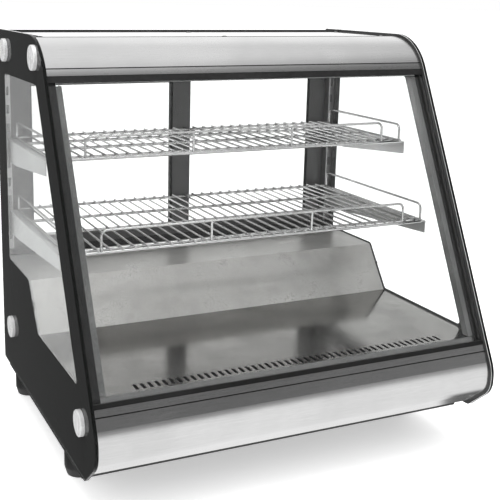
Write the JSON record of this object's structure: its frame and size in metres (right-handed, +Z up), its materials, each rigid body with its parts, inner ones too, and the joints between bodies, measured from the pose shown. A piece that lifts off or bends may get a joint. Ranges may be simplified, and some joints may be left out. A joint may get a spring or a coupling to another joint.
{
  "type": "countertop refrigerated display case",
  "caption": "Countertop refrigerated deli case with slanted front glass, side glasses in dark borders, wire shelves on brackets, vented deck, rear sliding doors and a cooling unit below.",
  "frame": {"origin": "centre of the footprint, on the surface under the feet", "axes": "+Z up, front glass faces -Y, +X to the viewer's right when facing the front"},
  "size_m": [0.702, 0.568, 0.686],
  "materials": {
    "side_glass": "clear toughened, polished edges",
    "pane_glass": "clear",
    "dark_print": "anthracite enamel printed behind glass",
    "bolt_steel": "satin",
    "canopy_metal": "satin brushed along its length",
    "fascia_metal": "brushed along its length",
    "top_metal": "pale satin",
    "black_trim": "satin black",
    "black_rubber": "matt",
    "corner_metal": "fine brushed",
    "liner_steel": "polished brushed stainless",
    "trim_grey": "satin grey",
    "foam_body": "pale grey moulded shell over foam",
    "pan_paint": "black powder coat",
    "rear_paint": "grey satin sheet",
    "frame_dark": "dark grey satin",
    "jamb_metal": "satin",
    "wire_steel": "bright plated wire",
    "bracket_steel": "satin",
    "foot_rubber": "matt dark grey",
    "fin_metal": "bare",
    "compressor_paint": "black gloss",
    "copper_tube": "bare copper",
    "fan_plastic": "black",
    "galvanised": "zinc-plated sheet",
    "lamp_white": "milky diffuser",
    "control_black": "gloss black",
    "button_grey": "satin grey",
    "rocker_black": "gloss black"
  },
  "bodies": {
    "root": {"base_pan": "pan_paint", "insulated_tub": "foam_body", "rear_panel": "rear_paint", "front_fascia": "fascia_metal", "front_glass_gasket": "black_rubber", "front_glass": "pane_glass", "corner_profiles": "corner_metal", "canopy": "canopy_metal", "canopy_trim": "black_trim", "top_cover": "top_metal", "rear_top_rail": "black_trim", "ceiling_tray": "top_metal", "lamp_housing": "galvanised", "lamp_diffuser": "lamp_white", "side_glass_left": "side_glass", "side_glass_right": "side_glass", "side_border_left": "dark_print", "side_border_right": "dark_print", "panel_bolts_left": "bolt_steel", "panel_bolts_right": "bolt_steel", "deck_plate": "liner_steel", "deck_front_trim": "trim_grey", "step_cover": "liner_steel", "upper_door_track": "black_trim", "lower_door_track": "black_trim", "rear_jamb_left": "jamb_metal", "rear_jamb_right": "jamb_metal", "upper_shelf_brackets": "bracket_steel", "lower_shelf_brackets": "bracket_steel", "evaporator_coil": "fin_metal", "evaporator_fan_plate": "galvanised", "compressor": "compressor_paint", "compressor_mounts": "black_rubber", "condenser_coil": "fin_metal", "condenser_shroud": "galvanised", "condenser_fan_motor": "galvanised", "refrigerant_lines": "copper_tube", "condensate_drain": "foam_body", "control_panel": "control_black", "cord_gland": "black_rubber"},
    "door_left": {"door_frame_left": "frame_dark", "door_glass_left": "pane_glass"},
    "door_right": {"door_frame_right": "frame_dark", "door_glass_right": "pane_glass"},
    "upper_shelf": {"upper_shelf_grid": "wire_steel", "upper_shelf_guard": "wire_steel"},
    "lower_shelf": {"lower_shelf_grid": "wire_steel", "lower_shelf_guard": "wire_steel"},
    "evaporator_fan_left": {"evaporator_fan_left": "fan_plastic"},
    "evaporator_fan_right": {"evaporator_fan_right": "fan_plastic"},
    "condenser_fan": {"condenser_fan_rotor": "fan_plastic"},
    "button_set": {"button_set": "button_grey"},
    "button_up": {"button_up": "button_grey"},
    "button_down": {"button_down": "button_grey"},
    "rocker_power": {"rocker_power": "rocker_black"},
    "rocker_light": {"rocker_light": "rocker_black"},
    "foot_front_left": {"foot_front_left": "foot_rubber"},
    "foot_front_right": {"foot_front_right": "foot_rubber"},
    "foot_rear_left": {"foot_rear_left": "foot_rubber"},
    "foot_rear_right": {"foot_rear_right": "foot_rubber"}
  },
  "joints": [
    {"name": "door_left_slide", "type": "slide", "parent": "root", "child": "door_left", "axis": [1, 0, 0], "range_m": [0, 0.3083]},
    {"name": "door_right_slide", "type": "slide", "parent": "root", "child": "door_right", "axis": [1, 0, 0], "range_m": [-0.3083, 0]},
    {"name": "upper_shelf_lift", "type": "slide", "parent": "root", "child": "upper_shelf", "axis": [0, 0, 1], "range_m": [0, 0.03]},
    {"name": "lower_shelf_lift", "type": "slide", "parent": "root", "child": "lower_shelf", "axis": [0, 0, 1], "range_m": [0, 0.03]},
    {"name": "evaporator_fan_left_spin", "type": "hinge", "parent": "root", "child": "evaporator_fan_left", "pos_m": [-0.13, -0.02, 0.139], "axis": [0, 1, 0], "continuous": true},
    {"name": "evaporator_fan_right_spin", "type": "hinge", "parent": "root", "child": "evaporator_fan_right", "pos_m": [0.13, -0.02, 0.139], "axis": [0, 1, 0], "continuous": true},
    {"name": "condenser_fan_spin", "type": "hinge", "parent": "root", "child": "condenser_fan", "pos_m": [0.17, 0.19, 0.152], "axis": [0, 1, 0], "continuous": true},
    {"name": "button_set_press", "type": "slide", "parent": "root", "child": "button_set", "axis": [0, -1, 0], "range_m": [0, 0.0015], "stiffness_N_per_m": 400},
    {"name": "button_up_press", "type": "slide", "parent": "root", "child": "button_up", "axis": [0, -1, 0], "range_m": [0, 0.0015], "stiffness_N_per_m": 400},
    {"name": "button_down_press", "type": "slide", "parent": "root", "child": "button_down", "axis": [0, -1, 0], "range_m": [0, 0.0015], "stiffness_N_per_m": 400},
    {"name": "rocker_power_tilt", "type": "hinge", "parent": "root", "child": "rocker_power", "pos_m": [-0.106, 0.2633, 0.222], "axis": [1, 0, 0], "range_deg": [0, 12]},
    {"name": "rocker_light_tilt", "type": "hinge", "parent": "root", "child": "rocker_light", "pos_m": [-0.084, 0.2633, 0.222], "axis": [1, 0, 0], "range_deg": [0, 12]},
    {"name": "foot_front_left_turn", "type": "hinge", "parent": "root", "child": "foot_front_left", "pos_m": [-0.306, -0.081, 0.03], "axis": [0, 0, 1], "continuous": true},
    {"name": "foot_front_right_turn", "type": "hinge", "parent": "root", "child": "foot_front_right", "pos_m": [0.306, -0.081, 0.03], "axis": [0, 0, 1], "continuous": true},
    {"name": "foot_rear_left_turn", "type": "hinge", "parent": "root", "child": "foot_rear_left", "pos_m": [-0.306, 0.252, 0.03], "axis": [0, 0, 1], "continuous": true},
    {"name": "foot_rear_right_turn", "type": "hinge", "parent": "root", "child": "foot_rear_right", "pos_m": [0.306, 0.252, 0.03], "axis": [0, 0, 1], "continuous": true}
  ]
}
